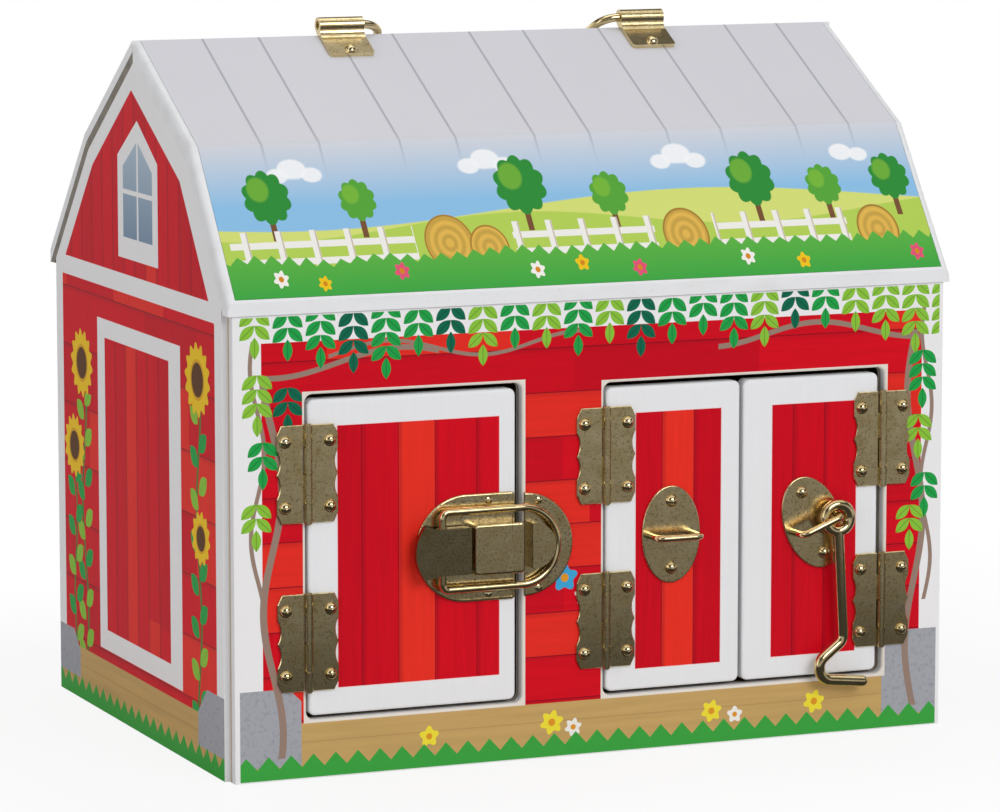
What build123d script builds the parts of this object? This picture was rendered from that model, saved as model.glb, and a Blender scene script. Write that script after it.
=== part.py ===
from build123d import *
import os
from math import acos, asin, atan2, cos, degrees, hypot, pi, radians, sin, tan

# Toy barn with three hinged front doors, a draw latch, a hook and eye, and a carry handle.
# All sizes are in millimetres. World frame: X to the right along the front, Y to the back,
# Z up, origin on the floor under the middle of the barn.

# ---------------------------------------------------------------- shell of boards
PANEL_LENGTH = 280.0        # front and back panels, end to end
PANEL_T = 6.0
PANEL_HEIGHT = 167.0
BACK_PANEL_HEIGHT = 165.8
DEPTH = 202.0               # over the outer faces of the front and back panels
GABLE_T = 6.0
GABLE_PROUD = 2.0           # the gables stand this far past the panels' ends
FLOOR_T = 6.0
FLOOR_FIT = 0.05            # slip fit of the floor board all round

# ---------------------------------------------------------------- gambrel roof
ROOF_T = 7.0
EAVE_OUT = 1.0              # the eave's lip past the panel's face
EAVE_GAP = 0.2              # shadow line over the panel's top edge
LIP_HEIGHT = 4.8
KNEE_RUN = 39.1             # front slope, from the lip back to the knee
KNEE_RISE = 51.8
RIDGE_RISE = 33.9
BACK_KNEE_RUN = 44.2
BACK_KNEE_RISE = 48.0
ROOF_END_ROUND = 2.2
SHEET_T = 1.0               # printed sheet let into the front slopes
SHEET_RIM = 3.1             # white rim left at each end of the roof
SHEET_EAVE_RIM = 1.3
SHEET_SEAM = 0.15
BACK_SKIN_T = 3.4           # outer skin over the back roof boards

# ---------------------------------------------------------------- doors
DOOR_OPENING_FLOOR = 21.2   # bottom edge of both openings
OPENING_CORNER = 3.0
OPENING_ROUND = 1.0
DOOR_ROUND = 1.2
DOOR_CORNER = 2.5
DOOR_T = 6.0
DOOR_BOTTOM_GAP = 1.4
DOOR_TOP_GAP = 1.9
HINGE_GAP = 1.0             # between a door's hinged edge and the wall

LEFT_OPENING_X = -113.0
LEFT_OPENING_W = 83.4
LEFT_OPENING_H = 117.0
LEFT_DOOR_LATCH_GAP = 2.7   # at the door's free edge
PAIR_OPENING_X = 2.5
PAIR_OPENING_W = 113.7
PAIR_OPENING_H = 115.2
PAIR_LEFT_W = 53.5
PAIR_RIGHT_W = 55.1
PAIR_HINGE_SETBACK = 2.7    # right leaf's hinged edge to the opening's edge

# ---------------------------------------------------------------- hinges
LEAF_W = 11.6               # from the pin's axis to the outer edge
LEAF_T = 1.0
LEAF_SHOULDER = 8.6         # half the distance between the outer edge's two shoulders
LEAF_BAY = 1.2              # depth of the two scallops in the outer edge
LEAF_CORNER_U = 1.7
LEAF_CORNER_W = 3.5
KNUCKLE_TOP = 7.7           # knuckles' lengths from the top; the wall leaf has 1st and 3rd
KNUCKLE_UPPER = 9.9
KNUCKLE_LOWER = 10.5
KNUCKLE_FOOT = 7.1
LEAF_EDGE = 0.25            # bevel round a leaf's visible outline
KNUCKLE_R = 1.5
KNUCKLE_GAP = 0.3
PIN_R = 0.75
PIN_FIT = 0.06              # radial running clearance in the knuckles
PIN_HEAD_R = 1.05
PIN_HEAD_T = 0.5
HINGE_NAIL_U = 8.5
HINGE_NAIL_W = 11.8
HINGE_UP = 110.0
HINGE_DOWN = 49.4

# ---------------------------------------------------------------- dome-head nails
DOME_R = 2.3
DOME_H = 1.8
NAIL_R = 0.8
NAIL_LENGTH = 4.8
NAIL_FIT = 0.03

# ---------------------------------------------------------------- draw latch
LATCH_Z = 79.4
PLATE_T = 1.2
PLATE_ROUND = 0.7
BASE_HALF_H = 19.65
BASE_LENGTH = 38.7
BASE_CORNER = 1.5           # at the flat side
BASE_RIM = 1.1              # raised border of the dished plate
BASE_DISH = 0.4
BASE_SETBACK = 0.5          # plate's flat side to the door's free edge
KEEPER_R = 18.9
KEEPER_SETBACK = 0.5        # keeper's flat side to the opening's edge
COVER_LENGTH = 19.5
COVER_HALF_H = 9.3
COVER_TOP = 7.0
COVER_ROUND = 1.4
COVER_EDGE = 0.98           # round of the pressed top's edges
COVER_OVERHANG = 1.5
LEVER_PIVOT_BACK = 21.7     # lever's pin to the base plate's flat side
LEVER_PIVOT_H = 4.6
LEVER_T = 0.8
LEVER_TOP = 7.0
LEVER_NOSE = 2.3            # lever past its pin
LEVER_LENGTH = 21.4
LEVER_HALF_W = 8.5
LEVER_WAIST = 8.2
LEVER_TAIL_HALF_W = 9.7
LEVER_TAIL_BULGE = 3.5
LEVER_LIP = 2.2
LEVER_PIN_R = 0.8
LEVER_PIN_FIT = 0.06
EAR_T = 1.0
EAR_FIT = 0.4
EAR_R = 1.3
LEVER_SWING = 100.0         # the lever's whole travel
NOSE_FIT = 0.2              # from the ears' feet to the lever's nose, at the travel's end
BAIL_ARM = 8.0              # lever's pin to the bail's pivot
BAIL_R = 1.4
BAIL_FIT = 0.1
BAIL_HALF_H = 14.1
BAIL_LENGTH = 45.4
BAIL_BEND = 2.2
BAIL_SEAT = 0.35            # bail over the keeper plate
TONGUE_LENGTH = 8.5
TONGUE_HALF_H = 8.2
TONGUE_SETBACK = 1.4        # tongue's straight side to the keeper's flat side
TONGUE_TOP = 5.4
TONGUE_LIP = 0.6
TONGUE_LIP_T = 0.8
LATCH_SCREW_R = 1.5
LATCH_SCREW_H = 0.5
LATCH_SCREW_LENGTH = 5.5
BASE_SCREW_BACK = 10.4
BASE_SCREW_W = 17.0
KEEPER_SCREW_U = 5.3
KEEPER_SCREW_W = 16.0

# ---------------------------------------------------------------- hook and eye
EYE_HALF_W = 11.65
EYE_HALF_H = 17.95
EYE_T = 1.0
EYE_ROUND = 0.4
EYE_NAIL_W = 12.4
STAPLE_R = 1.2
STAPLE_HALF_SPAN = 8.4
STAPLE_DEPTH = 10.0
STAPLE_BEND = 2.4
STAPLE_FIT = 0.03
LEFT_EYE_BACK = 28.0        # left plate's centre to the leaf's free edge
LEFT_EYE_Z = 79.4
RIGHT_EYE_IN = 28.1         # right plate's centre to the leaf's free edge
RIGHT_EYE_Z = 80.2
RIGHT_EYE_TURN = 22.0
HOOK_R = 2.1
HOOK_H = 5.6                # wire's centre over the doors' face
HOOK_ARCH_R = 4.9
HOOK_PRONG = 13.4
HOOK_DROP = 3.6             # bend below the arch's centre
HOOK_SLANT_RUN = 10.2
HOOK_BEND_R = 4.0
RING_R = 5.0
RING_SLACK = 1.3            # staple's leg to the ring's centre
HOOK_HANG_TURN = 84.0       # from hooked round to hanging, anticlockwise from the front

# ---------------------------------------------------------------- carry handle
CLIP_LENGTH = 17.5
CLIP_R = 3.0
CLIP_RISE = 3.8             # rod's axis over the ridge
CLIP_LEFT_X = -60.85
CLIP_RIGHT_X = 61.5
CLIP_STRAP_T = 0.8
CLIP_FLAP = 15.1            # flap's lower edge, down the slope from the ridge
CLIP_SCREW_DOWN = 12.6
CLIP_CORNER = 1.0
CLIP_SWEEP = 3.4            # hollow curve from the rolled eye into the flap
ROD_R = 1.6
ROD_FIT = 0.08
ROD_END_IN = 0.6
HANDLE_START = 0.2          # straight rod showing beside each clip
HANDLE_SLANT = 73.0         # arms lean in from the rod's line by this angle
HANDLE_BEND = 8.4
HANDLE_REACH = 38.0
HANDLE_GRIP_BEND = 9.0
HANDLE_REST_GAP = 0.3

NEAR = 0.01                 # an edge this close to a place is picked there

# ---------------------------------------------------------------- worked-out places
FRONT_Y = DEPTH / 2
GABLE_X = PANEL_LENGTH / 2 + GABLE_PROUD
INNER_Y = DEPTH / 2 - PANEL_T
AXIS_H = KNUCKLE_R
KNUCKLES = (KNUCKLE_TOP, KNUCKLE_UPPER, KNUCKLE_LOWER, KNUCKLE_FOOT)
HINGE_H = sum(KNUCKLES)
OPENING_TOP_LEFT = DOOR_OPENING_FLOOR + LEFT_OPENING_H
OPENING_TOP_PAIR = DOOR_OPENING_FLOOR + PAIR_OPENING_H

LEFT_DOOR = (
    LEFT_OPENING_X + HINGE_GAP,
    LEFT_OPENING_X + LEFT_OPENING_W - LEFT_DOOR_LATCH_GAP,
    DOOR_OPENING_FLOOR + DOOR_BOTTOM_GAP,
    OPENING_TOP_LEFT - DOOR_TOP_GAP,
)
PAIR_LEFT_DOOR = (
    PAIR_OPENING_X + HINGE_GAP,
    PAIR_OPENING_X + HINGE_GAP + PAIR_LEFT_W,
    DOOR_OPENING_FLOOR + DOOR_BOTTOM_GAP,
    OPENING_TOP_PAIR - DOOR_TOP_GAP,
)
PAIR_RIGHT_EDGE = PAIR_OPENING_X + PAIR_OPENING_W - PAIR_HINGE_SETBACK
PAIR_RIGHT_DOOR = (
    PAIR_RIGHT_EDGE - PAIR_RIGHT_W,
    PAIR_RIGHT_EDGE,
    DOOR_OPENING_FLOOR + DOOR_BOTTOM_GAP,
    OPENING_TOP_PAIR - DOOR_TOP_GAP,
)
LEFT_AXIS_X = LEFT_OPENING_X + HINGE_GAP / 2
PAIR_LEFT_AXIS_X = PAIR_OPENING_X + HINGE_GAP / 2
PAIR_RIGHT_AXIS_X = PAIR_RIGHT_EDGE + PAIR_HINGE_SETBACK / 2
HINGE_HEIGHTS = {"upper": HINGE_UP, "lower": HINGE_DOWN}

# Front frame: x along the wall, y up, z out of the front face. Everything on the front
# is drawn in it and then stood up by on_front().
FRONT_FRAME = Plane(origin=(0, -FRONT_Y, 0), x_dir=(1, 0, 0), z_dir=(0, -1, 0)).location

nodes = {}


def on_front(shape):
    return shape.moved(FRONT_FRAME)


def keep(name, shape):
    """Store a finished piece, in world coordinates, under its node name."""
    shape.label = name
    nodes[name] = shape


def slab(x0, x1, y0, y1, z0, z1, corner=0.0):
    """Board with square or rounded corners between the given limits."""
    width = x1 - x0
    height = y1 - y0
    outline = RectangleRounded(width, height, corner) if corner else Rectangle(width, height)
    return extrude(Pos((x0 + x1) / 2, (y0 + y1) / 2, z0) * outline, z1 - z0)


def rod_between(x, y, z0, z1, radius):
    """Round bar along z in the frame that it is drawn in."""
    return Pos(x, y, (z0 + z1) / 2) * Cylinder(radius, z1 - z0)


def round_wire(path, radius):
    """Bent wire of one section along a path."""
    return sweep(Plane(origin=path @ 0, z_dir=path % 0) * Circle(radius), path=path)


def dome(radius, height, shank_r, shank_length):
    """Dome-head fastener, head seated on z = 0 and shank below it."""
    ball = (radius**2 + height**2) / (2 * height)
    half = asin(radius / ball) / 2
    mid = (ball * sin(half), height - ball * (1 - cos(half)))
    outline = [
        ThreePointArc((0, height), mid, (radius, 0)),
        Polyline((radius, 0), (shank_r, 0), (shank_r, -shank_length), (0, -shank_length), (0, height)),
    ]
    return revolve(Plane.XZ * make_face(outline), Axis.Z)


def nails(points, seat):
    """Group of dome-head nails driven in at (x, y), heads seated at the height given."""
    one = dome(DOME_R, DOME_H, NAIL_R, NAIL_LENGTH)
    return Compound([Pos(x, y, seat) * one for x, y in points])


def nail_holes(points, depth=NAIL_LENGTH):
    """Holes for shanks at (x, y), from above the plates to the shanks' ends."""
    above = 2 * LEAF_T + PLATE_T
    return [rod_between(x, y, -depth - NAIL_FIT, above, NAIL_R + NAIL_FIT) for x, y in points]


# ---------------------------------------------------------------- roof outline
def shift_line(start, end, inward):
    """Move a line in the YZ section sideways; positive goes to the barn's inside."""
    dy = end[0] - start[0]
    dz = end[1] - start[1]
    length = hypot(dy, dz)
    ny = dz / length * inward
    nz = -dy / length * inward
    return (start[0] + ny, start[1] + nz), (end[0] + ny, end[1] + nz)


def meet(line_a, line_b):
    """Crossing point of two lines in the YZ section."""
    (ay, az), (by, bz) = line_a
    (cy, cz), (dy, dz) = line_b
    det = (by - ay) * (dz - cz) - (bz - az) * (dy - cy)
    along = ((cy - ay) * (dz - cz) - (cz - az) * (dy - cy)) / det
    return ay + along * (by - ay), az + along * (bz - az)


def level(line, z):
    """Point of a line at a height."""
    return meet(line, ((-1.0, z), (1.0, z)))


def upright(line, y):
    """Point of a line at a depth."""
    return meet(line, ((y, 0.0), (y, 1.0)))


LIP_Y = FRONT_Y + EAVE_OUT
LIP_LOW = PANEL_HEIGHT + EAVE_GAP
LIP_TOP = LIP_LOW + LIP_HEIGHT
KNEE = (-LIP_Y + KNEE_RUN, LIP_TOP + KNEE_RISE)
RIDGE = (0.0, LIP_TOP + KNEE_RISE + RIDGE_RISE)
BACK_LIP_LOW = BACK_PANEL_HEIGHT + EAVE_GAP
BACK_LIP_TOP = BACK_LIP_LOW + LIP_HEIGHT
BACK_KNEE = (LIP_Y - BACK_KNEE_RUN, BACK_LIP_TOP + BACK_KNEE_RISE)

FRONT_LOWER = ((-LIP_Y, LIP_TOP), KNEE)
FRONT_UPPER = (KNEE, RIDGE)
BACK_UPPER = (RIDGE, BACK_KNEE)
BACK_LOWER = (BACK_KNEE, (LIP_Y, BACK_LIP_TOP))


def layer(depth):
    """The four roof lines at a depth under the outer surface."""
    return [shift_line(*line, depth) for line in (FRONT_LOWER, FRONT_UPPER, BACK_UPPER, BACK_LOWER)]


INNER_FL, INNER_FU, INNER_BU, INNER_BL = layer(ROOF_T)
SKIN_BU, SKIN_BL = layer(BACK_SKIN_T)[2:]
INNER_KNEE = meet(INNER_FL, INNER_FU)
INNER_RIDGE = meet(INNER_FU, INNER_BU)
INNER_BACK_KNEE = meet(INNER_BU, INNER_BL)


def along_x(points, x0, x1):
    """Prism along X from a section of (y, z) points."""
    section = make_face(Polyline(*points, points[0]))
    return extrude(Plane(origin=(x0, 0, 0), x_dir=(0, 1, 0), z_dir=(1, 0, 0)) * section, x1 - x0)


def round_roof_ends(board, line):
    """Round the board's two end edges on its outer slope, as the painted edge is."""
    (ay, az), (by, bz) = line
    length = hypot(by - ay, bz - az)

    def off_slope(point):
        return abs((by - ay) * (point.Z - az) - (bz - az) * (point.Y - ay)) / length

    ends = [
        e for e in board.edges()
        if abs(abs((e @ 0.5).X) - GABLE_X) < NEAR and off_slope(e @ 0.5) < NEAR
    ]
    return fillet(ends, ROOF_END_ROUND)


def front_roof():
    lower = along_x(
        [(-LIP_Y, LIP_LOW), (-LIP_Y, LIP_TOP), KNEE, INNER_KNEE, level(INNER_FL, LIP_LOW)],
        -GABLE_X, GABLE_X)
    upper = along_x([KNEE, RIDGE, INNER_RIDGE, INNER_KNEE], -GABLE_X, GABLE_X)
    lower = round_roof_ends(lower, FRONT_LOWER)
    upper = round_roof_ends(upper, FRONT_UPPER)

    run = hypot(KNEE_RUN, KNEE_RISE)

    def sheet_outline(margin):
        share = (SHEET_EAVE_RIM - margin) / run
        foot = (-LIP_Y + share * KNEE_RUN, LIP_TOP + share * KNEE_RISE)
        under_lower = shift_line(*FRONT_LOWER, SHEET_T)
        under_upper = shift_line(*FRONT_UPPER, SHEET_T)
        foot_under = shift_line(foot, KNEE, SHEET_T)[0]
        crown = upright(under_upper, 0.0)
        return [foot, KNEE, RIDGE, crown, meet(under_lower, under_upper), foot_under]

    half = GABLE_X - SHEET_RIM
    sheet = along_x(sheet_outline(0.0), -half, half)
    recess = along_x(sheet_outline(SHEET_SEAM), -half - SHEET_SEAM, half + SHEET_SEAM)
    keep("front_roof_lower_board", lower - recess)
    keep("front_roof_upper_board", upper - recess)
    keep("front_roof_sheet", sheet)


def back_roof():
    skin_knee = meet(SKIN_BU, SKIN_BL)
    skin_ridge = upright(SKIN_BU, 0.0)
    skin_foot = upright(SKIN_BL, LIP_Y)
    skin = along_x(
        [RIDGE, BACK_KNEE, (LIP_Y, BACK_LIP_TOP), skin_foot, skin_knee, skin_ridge], -GABLE_X, GABLE_X)
    lower = along_x(
        [level(SKIN_BL, BACK_LIP_LOW), level(INNER_BL, BACK_LIP_LOW), INNER_BACK_KNEE, skin_knee],
        -GABLE_X, GABLE_X)
    upper = along_x([skin_ridge, skin_knee, INNER_BACK_KNEE, INNER_RIDGE], -GABLE_X, GABLE_X)
    keep("back_roof_skin", skin)
    keep("back_roof_lower_board", lower)
    keep("back_roof_upper_board", upper)


def gables():
    profile = [
        (-INNER_Y, 0.0),
        (INNER_Y, 0.0),
        upright(INNER_BL, INNER_Y),
        INNER_BACK_KNEE,
        INNER_RIDGE,
        INNER_KNEE,
        upright(INNER_FL, -INNER_Y),
    ]
    keep("left_gable", along_x(profile, -GABLE_X, -GABLE_X + GABLE_T))
    keep("right_gable", along_x(profile, GABLE_X - GABLE_T, GABLE_X))


# ---------------------------------------------------------------- hinges
def hinge_leaf(knuckle_rows):
    """One leaf on the +x side: scalloped plate, rolled knuckles, nail holes and pin bore."""
    top = HINGE_H / 2
    near = KNUCKLE_R + KNUCKLE_GAP
    outer = [
        Polyline(
            (near, -top), (LEAF_W - LEAF_CORNER_U, -top), (LEAF_W, -top + LEAF_CORNER_W),
            (LEAF_W, -LEAF_SHOULDER)),
        ThreePointArc(
            (LEAF_W, -LEAF_SHOULDER), (LEAF_W - LEAF_BAY, -LEAF_SHOULDER / 2), (LEAF_W, 0)),
        ThreePointArc(
            (LEAF_W, 0), (LEAF_W - LEAF_BAY, LEAF_SHOULDER / 2), (LEAF_W, LEAF_SHOULDER)),
        Polyline(
            (LEAF_W, LEAF_SHOULDER), (LEAF_W, top - LEAF_CORNER_W), (LEAF_W - LEAF_CORNER_U, top),
            (near, top), (near, -top)),
    ]
    leaf = extrude(make_face(outer), LEAF_T)
    face = leaf.faces().sort_by(Axis.Z)[-1]
    leaf = chamfer([e for e in face.edges() if (e @ 0.5).X > near + NEAR], LEAF_EDGE)
    upper_end = top
    for row, length in enumerate(KNUCKLES):
        lower_end = upper_end - length
        if row in knuckle_rows:
            high = upper_end - (KNUCKLE_GAP / 2 if row > 0 else 0.0)
            low = lower_end + (KNUCKLE_GAP / 2 if row < len(KNUCKLES) - 1 else 0.0)
            barrel = Pos(0, (high + low) / 2, AXIS_H) * Rot(X=90) * Cylinder(KNUCKLE_R, high - low)
            leaf += slab(0, near, low, high, 0, LEAF_T) + barrel
        upper_end = lower_end
    leaf -= Pos(0, 0, AXIS_H) * Rot(X=90) * Cylinder(PIN_R + PIN_FIT, HINGE_H)
    for w in (-HINGE_NAIL_W, HINGE_NAIL_W):
        leaf -= rod_between(HINGE_NAIL_U, w, 0, LEAF_T, NAIL_R + NAIL_FIT)
    return leaf


def hinge_pin():
    pin = Pos(0, 0, AXIS_H) * Rot(X=90) * Cylinder(PIN_R, HINGE_H)
    for end in (-1, 1):
        head = Rot(X=90) * Cylinder(PIN_HEAD_R, PIN_HEAD_T)
        pin += Pos(0, end * (HINGE_H + PIN_HEAD_T) / 2, AXIS_H) * head
    return pin


def nail_places(axis_x, side):
    """Where the nails of one side's leaves go, for both hinges of a door."""
    x = axis_x + side * HINGE_NAIL_U
    return [(x, z + w) for z in HINGE_HEIGHTS.values() for w in (-HINGE_NAIL_W, HINGE_NAIL_W)]


def hang_door(name, axis_x, side):
    """Both hinges of a door; the door lies on the side given of the hinge axis."""
    wall_leaf = hinge_leaf((0, 2))
    door_leaf = hinge_leaf((1, 3))
    if side > 0:
        wall_leaf = mirror(wall_leaf, about=Plane.YZ)
    else:
        door_leaf = mirror(door_leaf, about=Plane.YZ)
    for place, z in HINGE_HEIGHTS.items():
        spot = Pos(axis_x, z, 0)
        keep(f"{name}_wall_leaf_{place}", on_front(spot * wall_leaf))
        keep(f"{name}_leaf_{place}", on_front(spot * door_leaf))
        keep(f"{name}_hinge_pin_{place}", on_front(spot * hinge_pin()))
    keep(f"{name}_nails", on_front(nails(nail_places(axis_x, side), LEAF_T)))
    return nail_places(axis_x, -side)


# ---------------------------------------------------------------- draw latch
BASE_FLAT_X = LEFT_DOOR[1] - BASE_SETBACK
BASE_ROUND_X = BASE_FLAT_X - BASE_LENGTH + BASE_HALF_H
KEEPER_X = LEFT_OPENING_X + LEFT_OPENING_W + KEEPER_SETBACK
PIVOT_X = BASE_FLAT_X - LEVER_PIVOT_BACK
LEVER_UNDER = LEVER_TOP - LEVER_T - LEVER_PIVOT_H
NOSE_END = LEVER_NOSE * cos(radians(LEVER_SWING)) + LEVER_UNDER * sin(radians(LEVER_SWING))
EAR_FRONT = min(EAR_R, NOSE_END - NOSE_FIT)
BAIL_PIVOT_X = PIVOT_X - BAIL_ARM
BAIL_END_H = PLATE_T + BAIL_SEAT + BAIL_R
BAIL_TILT = degrees(asin((LEVER_PIVOT_H - BAIL_END_H) / BAIL_LENGTH))
BASE_SCREW_DEPTH = LATCH_SCREW_LENGTH - PLATE_T + BASE_DISH
KEEPER_SCREW_DEPTH = LATCH_SCREW_LENGTH - PLATE_T
BASE_SCREWS = [(BASE_FLAT_X - BASE_SCREW_BACK, LATCH_Z + s * BASE_SCREW_W) for s in (-1, 1)]
KEEPER_SCREWS = [(KEEPER_X + KEEPER_SCREW_U, LATCH_Z + s * KEEPER_SCREW_W) for s in (-1, 1)]


def across(x, h, length, radius):
    """Round bar along the wall's vertical, centred on the latch."""
    return Pos(x, LATCH_Z, h) * Rot(X=90) * Cylinder(radius, length)


def latch_screw_set(points, seat):
    one = dome(LATCH_SCREW_R, LATCH_SCREW_H, NAIL_R, LATCH_SCREW_LENGTH)
    return Compound([Pos(x, y, seat) * one for x, y in points])


def latch_base():
    """Plate with a round tail, pressed cover and two ears, their feet clear of the lever's nose."""
    outline = Pos(BASE_ROUND_X, LATCH_Z) * Circle(BASE_HALF_H)
    outline += Pos((BASE_ROUND_X + BASE_FLAT_X) / 2, LATCH_Z) * Rectangle(
        BASE_FLAT_X - BASE_ROUND_X, 2 * BASE_HALF_H)
    corners = [v for v in outline.vertices() if v.X > BASE_FLAT_X - BASE_CORNER]
    outline = fillet(corners, BASE_CORNER)
    plate = extrude(outline, PLATE_T)
    plate = fillet(plate.faces().sort_by(Axis.Z)[-1].edges(), PLATE_ROUND)
    dish = offset(outline, -BASE_RIM)
    plate -= extrude(Pos(0, 0, PLATE_T - BASE_DISH) * dish, BASE_DISH)
    cover_end = BASE_FLAT_X + COVER_OVERHANG
    cover = slab(
        cover_end - COVER_LENGTH, cover_end, LATCH_Z - COVER_HALF_H, LATCH_Z + COVER_HALF_H,
        PLATE_T / 2, COVER_TOP, COVER_ROUND)
    cover = fillet(cover.faces().sort_by(Axis.Z)[-1].edges(), COVER_EDGE)
    base = plate + cover
    ear_face = LEVER_HALF_W - LEVER_T - EAR_FIT
    for side in (-1, 1):
        y0, y1 = sorted((LATCH_Z + side * ear_face, LATCH_Z + side * (ear_face - EAR_T)))
        ear = slab(PIVOT_X - EAR_R, PIVOT_X + EAR_FRONT, y0, y1, PLATE_T / 2, LEVER_PIVOT_H)
        ear += Pos(PIVOT_X, (y0 + y1) / 2, LEVER_PIVOT_H) * Rot(X=90) * Cylinder(EAR_R, EAR_T)
        base += ear
    base -= across(PIVOT_X, LEVER_PIVOT_H, 2 * LEVER_HALF_W, LEVER_PIN_R)
    for x, y in BASE_SCREWS:
        base -= rod_between(x, y, 0, PLATE_T, NAIL_R + NAIL_FIT)
    return base


def latch_lever():
    """Thumb lever: waisted top plate, two folded flanges and a turned-down tail."""
    nose = PIVOT_X + LEVER_NOSE
    tail = nose - LEVER_LENGTH
    corner = tail + LEVER_TAIL_BULGE
    middle = (nose + corner) / 2

    def side_curve(sign, inset=0.0):
        return ThreePointArc(
            (nose, sign * (LEVER_HALF_W - inset)),
            (middle, sign * (LEVER_WAIST - inset)),
            (corner, sign * (LEVER_TAIL_HALF_W - inset)))

    outline = [
        side_curve(1),
        ThreePointArc((corner, LEVER_TAIL_HALF_W), (tail, 0), (corner, -LEVER_TAIL_HALF_W)),
        side_curve(-1),
        Line((nose, -LEVER_HALF_W), (nose, LEVER_HALF_W)),
    ]
    face = make_face(outline)
    top = extrude(Pos(0, 0, LEVER_TOP - LEVER_T) * face, LEVER_T)
    inner = offset(face, -LEVER_T)
    wall = extrude(Pos(0, 0, LEVER_TOP - LEVER_LIP) * face, LEVER_LIP - LEVER_T)
    wall -= extrude(Pos(0, 0, LEVER_TOP - LEVER_LIP) * inner, LEVER_LIP - LEVER_T)
    wall -= slab(corner, nose + 1, -LEVER_TAIL_HALF_W, LEVER_TAIL_HALF_W, 0, LEVER_TOP)
    lever = top + wall
    for side in (-1, 1):
        y0, y1 = sorted((side * LEVER_HALF_W, side * (LEVER_HALF_W - LEVER_T)))
        mid_y = (y0 + y1) / 2
        tall = LEVER_TOP - LEVER_T / 2
        flange = slab(BAIL_PIVOT_X, PIVOT_X, y0, y1, LEVER_PIVOT_H - LEVER_NOSE, tall)
        for x in (BAIL_PIVOT_X, PIVOT_X):
            flange += Pos(x, mid_y, LEVER_PIVOT_H) * Rot(X=90) * Cylinder(LEVER_NOSE, LEVER_T)
        lever += flange
    lever = lever.moved(Location((0, LATCH_Z, 0)))
    lever -= across(PIVOT_X, LEVER_PIVOT_H, 2 * LEVER_HALF_W, LEVER_PIN_R + LEVER_PIN_FIT)
    lever -= across(BAIL_PIVOT_X, LEVER_PIVOT_H, 2 * LEVER_HALF_W, BAIL_R + BAIL_FIT)
    return lever


def latch_bail():
    """Wire loop: ends turned in through the lever's flanges, round end over the tongue."""
    turned_in = LEVER_HALF_W - LEVER_T
    far = BAIL_LENGTH - BAIL_HALF_H
    diagonal = BAIL_BEND * (1 - cos(radians(45)))
    path = Wire([
        Line((0, turned_in), (0, BAIL_HALF_H - BAIL_BEND)),
        ThreePointArc(
            (0, BAIL_HALF_H - BAIL_BEND), (diagonal, BAIL_HALF_H - diagonal), (BAIL_BEND, BAIL_HALF_H)),
        Line((BAIL_BEND, BAIL_HALF_H), (far, BAIL_HALF_H)),
        ThreePointArc((far, BAIL_HALF_H), (BAIL_LENGTH, 0), (far, -BAIL_HALF_H)),
        Line((far, -BAIL_HALF_H), (BAIL_BEND, -BAIL_HALF_H)),
        ThreePointArc(
            (BAIL_BEND, -BAIL_HALF_H), (diagonal, -BAIL_HALF_H + diagonal), (0, -BAIL_HALF_H + BAIL_BEND)),
        Line((0, -BAIL_HALF_H + BAIL_BEND), (0, -turned_in)),
    ])
    return Pos(BAIL_PIVOT_X, LATCH_Z, LEVER_PIVOT_H) * Rot(Y=BAIL_TILT) * round_wire(path, BAIL_R)


def latch_keeper():
    """Half-round plate with a raised tongue, its lip turned over towards the loop's end."""
    disc = extrude(Circle(KEEPER_R), PLATE_T)
    plate = disc - slab(-2 * KEEPER_R, 0, -KEEPER_R, KEEPER_R, 0, PLATE_T)
    rim = [e for e in plate.edges() if (e @ 0.5).Z > PLATE_T / 2 and (e @ 0.5).X > PLATE_ROUND]
    plate = fillet(rim, PLATE_ROUND)

    def tongue(length):
        shoulder = TONGUE_SETBACK + TONGUE_LENGTH / 4
        return make_face([
            Polyline(
                (shoulder, TONGUE_HALF_H), (TONGUE_SETBACK, TONGUE_HALF_H),
                (TONGUE_SETBACK, -TONGUE_HALF_H), (shoulder, -TONGUE_HALF_H)),
            ThreePointArc(
                (shoulder, -TONGUE_HALF_H), (TONGUE_SETBACK + length, 0), (shoulder, TONGUE_HALF_H)),
        ])

    stem = extrude(Pos(0, 0, PLATE_T / 2) * tongue(TONGUE_LENGTH), TONGUE_TOP - PLATE_T / 2)
    lip = extrude(
        Pos(0, 0, TONGUE_TOP - TONGUE_LIP_T) * tongue(TONGUE_LENGTH + TONGUE_LIP), TONGUE_LIP_T)
    keeper = (plate + stem + lip).moved(Location((KEEPER_X, LATCH_Z, 0)))
    for x, y in KEEPER_SCREWS:
        keeper -= rod_between(x, y, 0, PLATE_T, NAIL_R + NAIL_FIT)
    return keeper


# ---------------------------------------------------------------- hook and eye
LEFT_EYE = (PAIR_LEFT_DOOR[1] - LEFT_EYE_BACK, LEFT_EYE_Z, 0.0)
RIGHT_EYE = (PAIR_RIGHT_DOOR[0] + RIGHT_EYE_IN, RIGHT_EYE_Z, RIGHT_EYE_TURN)
RING_LEG = (
    RIGHT_EYE[0] + STAPLE_HALF_SPAN * cos(radians(RIGHT_EYE_TURN)),
    RIGHT_EYE[1] + STAPLE_HALF_SPAN * sin(radians(RIGHT_EYE_TURN)),
)
HOOKED_LEG = (LEFT_EYE[0] + STAPLE_HALF_SPAN, LEFT_EYE[1])


def eye_spot(eye):
    x, z, turn = eye
    return Pos(x, z, 0) * Rot(Z=turn)


def eye_nail_places(eye):
    x, z, turn = eye
    across_x = -sin(radians(turn)) * EYE_NAIL_W
    up = cos(radians(turn)) * EYE_NAIL_W
    return [(x + s * across_x, z + s * up) for s in (-1, 1)]


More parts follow.
